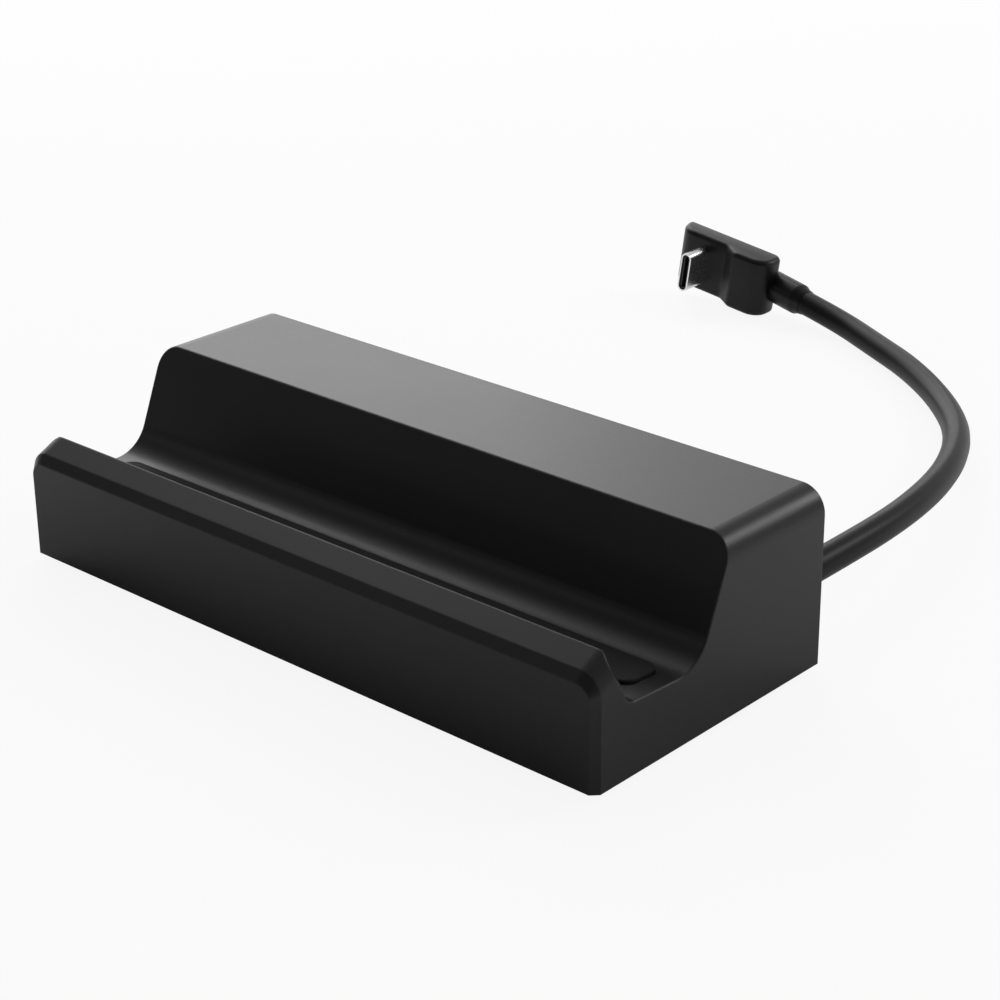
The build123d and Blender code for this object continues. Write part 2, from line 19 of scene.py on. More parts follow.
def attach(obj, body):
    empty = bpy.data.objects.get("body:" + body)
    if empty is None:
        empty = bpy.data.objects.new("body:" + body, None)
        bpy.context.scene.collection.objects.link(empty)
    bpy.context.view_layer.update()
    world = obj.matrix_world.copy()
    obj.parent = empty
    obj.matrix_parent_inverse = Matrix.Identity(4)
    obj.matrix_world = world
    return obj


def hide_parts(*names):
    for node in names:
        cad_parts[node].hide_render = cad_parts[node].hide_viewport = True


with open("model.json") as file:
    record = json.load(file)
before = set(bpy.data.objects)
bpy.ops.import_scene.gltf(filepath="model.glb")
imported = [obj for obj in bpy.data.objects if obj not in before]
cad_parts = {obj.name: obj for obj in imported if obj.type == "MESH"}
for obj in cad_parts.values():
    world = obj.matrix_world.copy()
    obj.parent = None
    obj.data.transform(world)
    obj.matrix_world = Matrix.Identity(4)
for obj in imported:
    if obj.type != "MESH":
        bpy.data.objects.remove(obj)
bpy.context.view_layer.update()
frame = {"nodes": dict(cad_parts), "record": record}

LOG = logging.getLogger("dock")
MM = 0.001
BODY = "root"
RING_POINTS = 48
BOX_CORNER_STEPS = 12
PLUG_CORNER_STEPS = 8
EDGE_STEPS = 6
LAYER_STRENGTH = 0.6
SQUARE = ((-1, -1), (1, -1), (1, 1), (-1, 1))

Colour = Tuple[float, float, float]
Point = Tuple[float, float, float]
Pair = Tuple[float, float]


# Shader graph

class Value:
    """Output of a shader node that takes part in Python expressions."""

    def __init__(self, graph: "Graph", socket: bpy.types.NodeSocket) -> None:
        """Keep the graph and the socket together."""
        self.graph = graph
        self.socket = socket

    def _join(self, operation: str, left: Any, right: Any) -> "Value":
        """Result of one Math node on two values."""
        return self.graph.node("ShaderNodeMath", {"operation": operation}, {0: left, 1: right})

    def __add__(self, other: Any) -> "Value":
        """Sum."""
        return self._join("ADD", self, other)

    def __radd__(self, other: Any) -> "Value":
        """Sum with the number first."""
        return self._join("ADD", other, self)

    def __sub__(self, other: Any) -> "Value":
        """Difference."""
        return self._join("SUBTRACT", self, other)

    def __rsub__(self, other: Any) -> "Value":
        """Difference with the number first."""
        return self._join("SUBTRACT", other, self)

    def __mul__(self, other: Any) -> "Value":
        """Product."""
        return self._join("MULTIPLY", self, other)

    def __rmul__(self, other: Any) -> "Value":
        """Product with the number first."""
        return self._join("MULTIPLY", other, self)


class Graph:
    """Node tree of a material or world, filled by one method."""

    def __init__(self, tree: bpy.types.NodeTree) -> None:
        """Start from an empty tree."""
        self.tree = tree
        tree.nodes.clear()

    def node(
        self,
        kind: str,
        settings: Optional[Mapping[str, Any]] = None,
        inputs: Optional[Mapping[Union[int, str], Any]] = None,
        output: Union[int, str] = 0,
    ) -> Value:
        """Add one node of any kind.

        Args:
            kind: Blender's name of the node type.
            settings: The node's own properties, set first.
            inputs: Plain values or links for its sockets, by name or number.
            output: Socket whose value comes back.

        Returns:
            The chosen output, for use in expressions.
        """
        made = self.tree.nodes.new(kind)
        for name, setting in (settings or {}).items():
            setattr(made, name, setting)
        for key, value in (inputs or {}).items():
            if isinstance(value, Value):
                self.tree.links.new(value.socket, made.inputs[key])
            else:
                made.inputs[key].default_value = value
        return Value(self, made.outputs[output] if len(made.outputs) else None)

    def place(self) -> Value:
        """Place on the piece, in metres."""
        return self.node("ShaderNodeTexCoord", output="Object")

    def stretched(self, scale: Point) -> Value:
        """Place on the piece, scaled by axis."""
        return self.node("ShaderNodeMapping", inputs={"Vector": self.place(), "Scale": scale})

    def noise(self, scale: float, detail: float = 2.0, vector: Optional[Value] = None) -> Value:
        """Add soft noise.

        Args:
            scale: Waves per metre.
            detail: Finer layers on top.
            vector: Where the noise is read; the place on the piece if left out.

        Returns:
            Noise from 0 to 1.
        """
        inputs = {"Vector": vector or self.place(), "Scale": scale, "Detail": detail}
        return self.node("ShaderNodeTexNoise", inputs={**inputs, "Roughness": LAYER_STRENGTH})

    def blend(self, factor: Value, low: Colour, high: Colour) -> Value:
        """Mix of two colours, with the factor as the share of the second one."""
        inputs = {0: factor, 6: (*low, 1.0), 7: (*high, 1.0)}
        return self.node("ShaderNodeMix", {"data_type": "RGBA"}, inputs, output=2)

    def bump(self, height: Value, strength: float, distance: float, normal: Optional[Value] = None) -> Value:
        """Turn a height into a normal.

        Args:
            height: Height pattern from 0 to 1.
            strength: Share of the effect.
            distance: Height of the pattern in metres.
            normal: Normal that is bent; the surface's own if left out.

        Returns:
            The bent normal.
        """
        inputs = {"Height": height, "Strength": strength, "Distance": distance}
        if normal:
            inputs["Normal"] = normal
        return self.node("ShaderNodeBump", inputs=inputs)


# Finishes

@dataclass(frozen=True)
class Finish:
    """Finish of a surface; each kind of material adds its own pattern.

    Attributes:
        label: Name of the material.
        colour: Base colour, linear.
        roughness: Middle roughness.
        metallic: 1 for metal, 0 for the rest.
        gloss: Share of mirror light, where clear plastic is 0.5.
        spread: Half the range of the colour, as a share of it.
        sway: How far the pattern sways the roughness.
        depth: Height of the pattern in metres.
        strength: How much of that height shows.
    """

    label: str
    colour: Colour
    roughness: float
    metallic: float = 0.0
    gloss: float = 0.5
    spread: float = 0.2
    sway: float = 0.06
    depth: float = 0.00003
    strength: float = 0.3

    def tones(self) -> Tuple[Colour, Colour]:
        """Darker and lighter tone of the base colour.

        Returns:
            The two colours.
        """
        low = tuple(part * (1 - self.spread) for part in self.colour)
        high = tuple(min(1.0, part * (1 + self.spread)) for part in self.colour)
        return low, high

    def surface(self, graph: Graph) -> Dict[str, Any]:
        """Values for the shader's sockets, which each kind of finish gives."""
        raise NotImplementedError

    def material(self) -> bpy.types.Material:
        """Build the material.

        Returns:
            A material with one surface shader.
        """
        made = bpy.data.materials.new(self.label)
        made.use_nodes = True
        graph = Graph(made.node_tree)
        sockets: Dict[str, Any] = {"Metallic": self.metallic, "Specular IOR Level": self.gloss}
        sockets.update(self.surface(graph))
        shader = graph.node("ShaderNodeBsdfPrincipled", inputs=sockets)
        graph.node("ShaderNodeOutputMaterial", inputs={"Surface": shader})
        return made


@dataclass(frozen=True)
class SparkedPlastic(Finish):
    """Moulded plastic with the fine grain of a spark-eroded mould.

    Attributes:
        grain: Grains per metre.
        edge: Radius that softens the edges' gleam, in metres; 0 leaves them sharp.
        edge_samples: Rays that find the edges.
        clouds: Clouds per metre.
        cloud_share: Share of the clouds in the colour, beside the grain.
    """

    sway: float = 0.08
    strength: float = 0.35
    grain: float = 2600.0
    edge: float = 0.0
    edge_samples: int = 4
    clouds: float = 38.0
    cloud_share: float = 0.6

    def surface(self, graph: Graph) -> Dict[str, Any]:
        """Fine grain over faint clouds, with the sheen of handled spots.

        Args:
            graph: Tree that takes the nodes.

        Returns:
            Values for the shader's sockets.
        """
        soft = None
        if self.edge:
            soft = graph.node("ShaderNodeBevel", {"samples": self.edge_samples}, {"Radius": self.edge})
        grain = graph.noise(self.grain)
        cloud = graph.noise(self.clouds, detail=3.0)
        tint = cloud * self.cloud_share + grain * (1 - self.cloud_share)
        return {
            "Base Color": graph.blend(tint, *self.tones()),
            "Roughness": self.roughness - self.sway + cloud * self.sway + grain * self.sway,
            "Normal": graph.bump(grain, self.strength, self.depth, soft),
        }


@dataclass(frozen=True)
class SoftRubber(Finish):
    """Rubber with a dull skin and fine pits.

    Attributes:
        pits: Pits per metre.
        haze: Patches of dust per metre.
    """

    spread: float = 0.3
    sway: float = 0.05
    depth: float = 0.00004
    pits: float = 1900.0
    haze: float = 45.0

    def surface(self, graph: Graph) -> Dict[str, Any]:
        """Pits and a dusty haze.

        Args:
            graph: Tree that takes the nodes.

        Returns:
            Values for the shader's sockets.
        """
        pits = graph.node(
            "ShaderNodeTexVoronoi", inputs={"Vector": graph.place(), "Scale": self.pits}, output="Distance"
        )
        haze = graph.noise(self.haze, detail=4.0)
        return {
            "Base Color": graph.blend(haze, *self.tones()),
            "Roughness": self.roughness - self.sway + haze * (2 * self.sway),
            "Normal": graph.bump(pits, self.strength, self.depth),
        }


@dataclass(frozen=True)
class DrawnMetal(Finish):
    """Plated sheet metal with the fine lines it was drawn or brushed with.

    Attributes:
        lines: Lines per metre along each axis; the smallest one follows the lines.
        line_sway: How far the lines sway the roughness, beside the clouds.
        line_share: Share of the lines in the colour, beside the clouds.
        clouds: Clouds of tarnish per metre.
    """

    spread: float = 0.12
    depth: float = 0.000004
    strength: float = 0.25
    lines: Point = (1500.0, 60.0, 1500.0)
    line_sway: float = 0.08
    line_share: float = 0.5
    clouds: float = 140.0

    def surface(self, graph: Graph) -> Dict[str, Any]:
        """Long fine lines and faint clouds of tarnish.

        Args:
            graph: Tree that takes the nodes.

        Returns:
            Values for the shader's sockets.
        """
        lines = graph.noise(1.0, detail=3.0, vector=graph.stretched(self.lines))
        cloud = graph.noise(self.clouds, detail=3.0)
        tint = cloud * (1 - self.line_share) + lines * self.line_share
        return {
            "Base Color": graph.blend(tint, *self.tones()),
            "Roughness": self.roughness - self.sway + lines * self.line_sway + cloud * self.sway,
            "Normal": graph.bump(lines, self.strength, self.depth),
        }


@dataclass(frozen=True)
class Laminate(Finish):
    """Board laminate with copper tracks under its varnish.

    Attributes:
        track: Colour over the copper.
        pitch: Tracks per metre.
        gap: Width of the gap between tracks, as a share of the pitch.
        gap_blur: Softness of the gap's edges.
        weave: Glass threads per metre.
        track_share: Share of the tracks in the height, beside the weave.
    """

    track: Colour = (0.03, 0.16, 0.05)
    pitch: float = 420.0
    gap: float = 0.03
    gap_blur: float = 0.3
    weave: float = 900.0
    track_share: float = 0.8

    def surface(self, graph: Graph) -> Dict[str, Any]:
        """Tracks that run in blocks, raised a little.

        Args:
            graph: Tree that takes the nodes.

        Returns:
            Values for the shader's sockets.
        """
        tracks = graph.node(
            "ShaderNodeTexBrick",
            {"offset": 0.35, "squash": 0.6, "squash_frequency": 3},
            {
                "Vector": graph.place(),
                "Color1": (1, 1, 1, 1),
                "Color2": (1, 1, 1, 1),
                "Mortar": (0, 0, 0, 1),
                "Scale": self.pitch,
                "Mortar Size": self.gap,
                "Mortar Smooth": self.gap_blur,
            },
            output="Fac",
        )
        weave = graph.noise(self.weave)
        height = tracks * self.track_share + weave * (1 - self.track_share)
        return {
            "Base Color": graph.blend(tracks, self.colour, self.track),
            "Roughness": self.roughness - self.sway + weave * (2 * self.sway),
            "Normal": graph.bump(height, self.strength, self.depth),
        }


class Slot(Enum):
    """Finishes by the record's material slots."""

    HOUSING = "housing_plastic"
    PAD = "pad_rubber"
    BOARD = "board_laminate"
    SCREW = "screw_steel"
    SOCKET = "socket_steel"
    INSULATOR = "insulator_plastic"
    CONTACT = "contact_brass"
    CHIP = "chip_plastic"
    GEL = "thermal_gel"
    SPREADER = "spreader_aluminium"
    JACKET = "cable_jacket"
    PLUG = "plug_plastic"
    TIP = "plug_steel"


SATIN = {"depth": 0.00002, "strength": 0.25}
FINISHES: Dict[Slot, Finish] = {
    Slot.HOUSING: SparkedPlastic(
        "housing_plastic_sparked", (0.0105, 0.0105, 0.011), 0.33, gloss=0.33, edge=0.0004
    ),
    Slot.PAD: SoftRubber("pad_rubber_pitted", (0.008, 0.008, 0.0083), 0.75, gloss=0.25),
    Slot.BOARD: Laminate("board_laminate_tracked", (0.008, 0.07, 0.025), 0.38),
    Slot.SCREW: DrawnMetal("screw_steel_turned", (0.34, 0.34, 0.36), 0.36, 1.0, lines=(900.0,) * 3),
    Slot.SOCKET: DrawnMetal("socket_steel_drawn", (0.62, 0.62, 0.63), 0.30, 1.0),
    Slot.INSULATOR: SparkedPlastic("insulator_plastic_moulded", (0.016, 0.016, 0.017), 0.5, grain=1800.0),
    Slot.CONTACT: DrawnMetal("contact_brass_plated", (0.83, 0.60, 0.24), 0.24, 1.0),
    Slot.CHIP: SparkedPlastic("chip_plastic_frosted", (0.022, 0.022, 0.023), 0.6, grain=4200.0),
    Slot.GEL: SoftRubber("thermal_gel_soft", (0.30, 0.34, 0.38), 0.7),
    Slot.SPREADER: DrawnMetal(
        "spreader_aluminium_brushed", (0.70, 0.71, 0.72), 0.34, 1.0, lines=(40.0, 1700.0, 1700.0)
    ),
    Slot.JACKET: SparkedPlastic(
        "cable_jacket_satin", (0.009, 0.009, 0.0094), 0.36, gloss=0.12, grain=1500.0, **SATIN
    ),
    Slot.PLUG: SparkedPlastic(
        "plug_plastic_satin", (0.006, 0.006, 0.0062), 0.36, gloss=0.25, grain=2100.0, **SATIN
    ),
    Slot.TIP: DrawnMetal(
        "plug_steel_bright", (0.80, 0.80, 0.81), 0.26, 1.0, lines=(1800.0, 50.0, 1800.0), depth=0.000001
    ),
}


class Wardrobe:
    """Makes each finish once and hands it out."""

    def __init__(self) -> None:
        """Start with nothing made."""
        self._made: Dict[Slot, bpy.types.Material] = {}

    def material(self, slot: Slot) -> bpy.types.Material:
        """Material of a slot, made on first use.

        Args:
            slot: The record's slot.

        Returns:
            Its material.
        """
        if slot not in self._made:
            self._made[slot] = FINISHES[slot].material()
        return self._made[slot]

    def dress_solids(self) -> None:
        """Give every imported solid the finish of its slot."""
        for part in frame["record"]["subparts"]:
            solid = frame["nodes"][part["node"]]
            material = self.material(Slot(part["material_slot"]))
            if not solid.material_slots:
                solid.data.materials.append(material)
            for slot in solid.material_slots:
                slot.material = material
            LOG.info("dressed %s in %s", part["node"], material.name)


# Mesh helpers

def add_object(name: str, data: bpy.types.ID) -> bpy.types.Object:
    """Put a mesh, curve, lamp or camera into the scene at the origin.

    Args:
        name: Name of the object.
        data: Its data.

    Returns:
        The new object.
    """
    made = bpy.data.objects.new(name, data)
    bpy.context.scene.collection.objects.link(made)
    return made


def ring_skin(
    rings: Sequence[Sequence[Vector]], name: str, sharp: float = 40.0, looped: bool = False
) -> bpy.types.Mesh:
    """Close a stack of rings of equal length into one skin.

    Args:
        rings: Rings from the first to the last, each running the same way round.
        name: Name of the mesh.
        sharp: Angle in degrees over which an edge stays sharp.
        looped: Whether the last ring joins the first one, in place of two caps.

    Returns:
        A closed mesh with outward faces.
    """
    work = bmesh.new()
    stack = [[work.verts.new(point) for point in ring] for ring in rings]
    count = len(stack[0])
    for lower, upper in zip(stack, stack[1:] + stack[:1] if looped else stack[1:]):
        for here in range(count):
            there = (here + 1) % count
            work.faces.new((lower[here], lower[there], upper[there], upper[here]))
    if not looped:
        work.faces.new(list(reversed(stack[0])))
        work.faces.new(stack[-1])
    bmesh.ops.recalc_face_normals(work, faces=work.faces)
    mesh = bpy.data.meshes.new(name)
    work.to_mesh(mesh)
    work.free()
    mesh.shade_smooth()
    mesh.set_sharp_from_angle(angle=math.radians(sharp))
    return mesh


def turned(profile: Sequence[Pair], start: Vector, axis: Vector) -> List[List[Vector]]:
    """Rings of a turned shape.

    Args:
        profile: Pairs of distance along the axis and radius.
        start: Where the distance is 0.
        axis: Direction of the axis.

    Returns:
        One ring for each pair.
    """
    turn = axis.to_track_quat("Z", "Y").to_matrix()
    rings = []
    for along, radius in profile:
        ring = []
        for step in range(RING_POINTS):
            angle = 2 * math.pi * step / RING_POINTS
            ring.append(start + turn @ Vector((radius * math.cos(angle), radius * math.sin(angle), along)))
        rings.append(ring)
    return rings


def rounded_plan(corners: Sequence[Tuple[float, float, float]], steps: int) -> List[Vector]:
    """Outline with rounded corners.

    Args:
        corners: Corners in order, each with x, y and its radius.
        steps: Points in each rounding, less one.

    Returns:
        Points of the outline in the plane.
    """
    outline: List[Vector] = []
    for place, (x, y, radius) in enumerate(corners):
        here = Vector((x, y))
        before = (Vector(corners[place - 1][:2]) - here).normalized()
        after = (Vector(corners[(place + 1) % len(corners)][:2]) - here).normalized()
        half = before.angle(after) / 2
        middle = here + (before + after).normalized() * (radius / math.sin(half))
        first = here + before * (radius / math.tan(half)) - middle
        last = here + after * (radius / math.tan(half)) - middle
        sweep = first.angle_signed(last)
        for step in range(steps + 1):
            turn = Matrix.Rotation(-sweep * step / steps, 2)
            outline.append(middle + turn @ first)
    return outline


def inset(outline: Sequence[Vector], amount: float) -> List[Vector]:
    """Move an outline inwards.

    Args:
        outline: Closed outline, counter-clockwise.
        amount: How far it moves.

    Returns:
        The moved points, in the same order.
    """
    moved = []
    for place, here in enumerate(outline):
        along = outline[(place + 1) % len(outline)] - outline[place - 1]
        inward = Vector((-along.y, along.x)).normalized()
        moved.append(here + inward * amount)
    return moved


def rounded_box(middle: Pair, size: Pair, radius: float) -> List[Vector]:
    """Outline of a rectangle with rounded corners.

    Args:
        middle: Its middle.
        size: Its length and width.
        radius: Rounding of its corners.

    Returns:
        Points of the outline in the plane.
    """
    corners = []
    for x, y in SQUARE:
        corners.append((middle[0] + x * size[0] / 2, middle[1] + y * size[1] / 2, radius))
    return rounded_plan(corners, BOX_CORNER_STEPS)


def rounded_edge(radius: float) -> List[Pair]:
    """Steps of a rounded edge, from the flat face to the side.

    Args:
        radius: Radius of the rounding.

    Returns:
        Pairs of depth under the flat face and how far the outline is drawn in.
    """
    steps = []
    for step in range(EDGE_STEPS + 1):
        angle = math.pi / 2 * step / EDGE_STEPS
        steps.append((radius * (1 - math.cos(angle)), radius * (1 - math.sin(angle))))
    return steps


def dressed(
    name: str, data: bpy.types.ID, wardrobe: Wardrobe, slot: Slot, stands_for: str = ""
) -> bpy.types.Object:
    """Make a piece in its finish, on the body.

    Args:
        name: Name of the piece.
        data: Its mesh or curve.
        wardrobe: Source of the finish.
        slot: The record's slot that it takes.
        stands_for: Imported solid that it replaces, if any.

    Returns:
        The piece.
    """
    data.materials.append(wardrobe.material(slot))
    piece = add_object(name, data)
    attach(piece, BODY)
    if stands_for:
        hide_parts(stands_for)
    return piece


# Sub-assemblies

@dataclass
class DataCable:
    """Captive cable from the back wall to the plug.

    Attributes:
        route: Control points of its line, from inside the wall to the plug's neck.
        exit: Where it leaves the back wall.
        diameter: Outside diameter.
        length: Length from inside the wall to the plug's neck.
        order: Order of its line.
        steps: Points along the line between two control points.
        ring_steps: Fineness of its round section.
    """

    route: Sequence[Point] = (
        (0.0493, 0.0210, 0.0098),
        (0.0493, 0.0405, 0.0098),
        (0.0473, 0.0639, 0.0087),
        (0.0410, 0.0867, 0.0065),
        (0.0309, 0.1071, 0.0042),
        (0.0182, 0.1221, 0.0028),
        (0.0038, 0.1335, 0.0025),
        (-0.0093, 0.1404, 0.0025),
        (-0.0215, 0.1461, 0.0030),
        (-0.0309, 0.1476, 0.0043),
    )
    exit: Point = (0.0493, 0.02525, 0.0098)
    diameter: float = 0.00485
    length: float = 0.1652
    order: int = 3
    steps: int = 16
    ring_steps: int = 8

    def build(self, wardrobe: Wardrobe, plug: Sequence[bpy.types.Object]) -> bpy.types.Object:
        """Draw the cable as one smooth line with a round section.

        Args:
            wardrobe: Source of the jacket's finish.
            plug: Pieces on the cable; not used.

        Returns:
            The cable.
        """
        curve = bpy.data.curves.new("cable_line", "CURVE")
        curve.dimensions = "3D"
        spline = curve.splines.new("NURBS")
        spline.points.add(len(self.route) - 1)
        for point, place in zip(spline.points, self.route):
            point.co = (*place, 1.0)
        spline.order_u = self.order
        spline.use_endpoint_u = True
        spline.resolution_u = self.steps
        curve.bevel_depth = self.diameter / 2
        curve.bevel_resolution = self.ring_steps
        curve.use_fill_caps = True
        cable = dressed("cable_run", curve, wardrobe, Slot.JACKET, "data_cable")
        return cable


@dataclass
class CableSleeve:
    """Strain relief round the cable, with a flange inside the wall and grooves outside it.

    Attributes:
        axis_x: Place along the dock.
        height: Height of its axis.
        wall_inside: Inner face of the back wall.
        wall_outside: Outer face of the back wall.
        flange_radius: Radius of the flange.
        flange_depth: Thickness of the flange.
        radius: Radius in the wall.
        tip_radius: Radius at the free end.
        bore: Radius of its bore.
        reach: How far it stands out of the wall.
        collar: Plain stretch outside the wall, before the first groove.
        collar_taper: Where the taper starts, outside the wall.
        grooves: Number of grooves.
        groove_depth: Depth of a groove.
        groove_width: Width of a groove at its mouth.
        groove_slope: Width of a groove's slanted side.
        end_plain: Plain stretch at the free end.
        flange_break: Width of the flange's broken edge.
        tip_break: Length and depth of the free end's broken edge.
    """

    axis_x: float = 49.3 * MM
    height: float = 9.8 * MM
    wall_inside: float = 23.25 * MM
    wall_outside: float = 25.25 * MM
    flange_radius: float = 4.4 * MM
    flange_depth: float = 2.5 * MM
    radius: float = 3.2 * MM
    tip_radius: float = 2.85 * MM
    bore: float = 2.5 * MM
    reach: float = 9.0 * MM
    collar: float = 1.0 * MM
    collar_taper: float = 0.6 * MM
    grooves: int = 4
    groove_depth: float = 0.35 * MM
    groove_width: float = 0.8 * MM
    groove_slope: float = 0.15 * MM
    end_plain: float = 0.6 * MM
    flange_break: float = 0.2 * MM
    tip_break: Pair = (0.3 * MM, 0.25 * MM)

    def profile(self) -> List[Pair]:
        """Outline from the flange to the tip and back through the bore.

        Returns:
            Pairs of place along the cable and radius.
        """
        start = self.wall_inside - self.flange_depth
        outline = [
            (start, self.bore),
            (start, self.flange_radius - self.flange_break),
            (start + self.flange_break, self.flange_radius),
            (self.wall_inside, self.flange_radius),
            (self.wall_inside, self.radius),
            (self.wall_outside + self.collar_taper, self.radius),
        ]
        span = (self.reach - self.collar - self.end_plain) / self.grooves
        for number in range(self.grooves):
            at = self.wall_outside + self.collar + span * number
            painted_reflection_share = (at - self.wall_outside) / self.reach
            radius = self.radius + (self.tip_radius - self.radius) * painted_reflection_share
            outline += [
                (at, radius),
                (at + self.groove_slope, radius - self.groove_depth),
                (at + self.groove_width - self.groove_slope, radius - self.groove_depth),
                (at + self.groove_width, radius),
            ]
        end = self.wall_outside + self.reach
        outline += [
            (end - self.tip_break[0], self.tip_radius),
            (end, self.tip_radius - self.tip_break[1]),
            (end, self.bore),
        ]
        return outline

    def build(self, wardrobe: Wardrobe) -> bpy.types.Object:
        """Turn the sleeve.

        Args:
            wardrobe: Source of the jacket's finish.

        Returns:
            The sleeve.
        """
        rings = turned(self.profile(), Vector((self.axis_x, 0, self.height)), Vector((0, 1, 0)))
        skin = ring_skin(rings, "sleeve_skin", sharp=35.0, looped=True)
        return dressed("strain_relief", skin, wardrobe, Slot.JACKET, "cable_sleeve")


@dataclass
class AnglePlug:
    """Right-angle plug: a soft moulded body with a round nose, and its neck.

    Attributes:
        turn: Turn about the vertical, in degrees.
        tilt: Lean of the nose upwards, in degrees.
        corner: Lower corner of the straight back at the nose.
        height: Height of the body.
        length: Length of the body.
        thin: Thickness where the tip stands.
        thick: Thickness at the cable.
        step: Where the step between them starts and ends.
        step_radii: Rounding of the step's inner and outer corner.
        nose_set: How far the nose's front is set back along the plug.
        nose_radius: Rounding of the nose.
        end_radius: Rounding of the cable end.
        corner_radius: Rounding of the back's corner at the nose.
        heel_radius: Rounding of the back's corner at the cable.
        edge_radius: Rounding of the upper and lower edges.
        entry: Where the cable goes in.
        run: Direction of the cable as it goes in.
        neck_radius: Radius of the neck.
        neck_length: Length of the neck from the cable's end.
        neck_outline: Steps of the neck from its mouth to its full width, each as the distance from the
            mouth and the radius.
    """

    turn: float = 2.1
    tilt: float = 8.2
    corner: Point = (-63.6665 * MM, 149.0503 * MM, 3.3377 * MM)
    height: float = 12.2 * MM
    length: float = 24.0 * MM
    thin: float = 5.1 * MM
    thick: float = 7.2 * MM
    step: Pair = (12.9 * MM, 16.2 * MM)
    step_radii: Pair = (2.4 * MM, 2.0 * MM)
    nose_set: float = 1.4 * MM
    nose_radius: float = 3.9 * MM
    end_radius: float = 3.6 * MM
    corner_radius: float = 1.1 * MM
    heel_radius: float = 2.3 * MM
    edge_radius: float = 1.0 * MM
    entry: Point = (-30.9 * MM, 147.6 * MM, 4.3 * MM)
    run: Point = (-9.4, 1.5, 1.3)
    neck_radius: float = 3.15 * MM
    neck_length: float = 9.7 * MM
    neck_outline: Sequence[Pair] = (
        (0.0, 2.5 * MM),
        (0.05 * MM, 2.55 * MM),
        (1.2 * MM, 2.69 * MM),
        (1.65 * MM, 2.97 * MM),
        (2.0 * MM, 3.12 * MM),
        (2.4 * MM, 3.15 * MM),
    )

    def frame_of(self) -> Matrix:
        """Turn from the plug's own axes (along, back, up) to the row's.

        Returns:
            A 4 by 4 matrix with the plug's corner as its origin.
        """
        turned_about = Matrix.Rotation(math.radians(self.turn), 4, "Z")
        leant = Matrix.Rotation(math.radians(self.tilt), 4, "Y")
        return Matrix.Translation(self.corner) @ turned_about @ leant

    def body_rings(self) -> List[List[Vector]]:
        """Rings of the body from its underside to its top.

        Returns:
            Rings in the row's frame.
        """
        plan = rounded_plan(
            (
                (0.0, 0.0, self.corner_radius),
                (self.nose_set, -self.thin, self.nose_radius),
                (self.step[0], -self.thin, self.step_radii[0]),
                (self.step[1], -self.thick, self.step_radii[1]),
                (self.length, -self.thick, self.end_radius),
                (self.length, 0.0, self.heel_radius),
            ),
            PLUG_CORNER_STEPS,
        )
        place = self.frame_of()
        lower = rounded_edge(self.edge_radius)
        upper = [(self.height - rise, draw) for rise, draw in reversed(lower)]
        rings = []
        for rise, draw in lower + upper:
            rings.append([place @ Vector((*point, rise)) for point in inset(plan, draw)])
        return rings

    def build(self, wardrobe: Wardrobe) -> List[bpy.types.Object]:
        """Build the moulded body and its neck as one piece.

        Args:
            wardrobe: Source of the plug's finish.

        Returns:
            The body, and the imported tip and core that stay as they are.
        """
        mesh = ring_skin(self.body_rings(), "plug_skin")
        axis = Vector(self.run).normalized()
        profile = [*self.neck_outline, (self.neck_length, self.neck_radius)]
        neck = ring_skin(turned(profile, Vector(self.entry), axis), "neck_skin", sharp=60.0)
        work = bmesh.new()
        work.from_mesh(mesh)
        work.from_mesh(neck)
        work.to_mesh(mesh)
        work.free()
        bpy.data.meshes.remove(neck)
        body = dressed("plug_moulding", mesh, wardrobe, Slot.PLUG, "plug_body")
        return [body, frame["nodes"]["plug_shell"], frame["nodes"]["plug_insert"]]


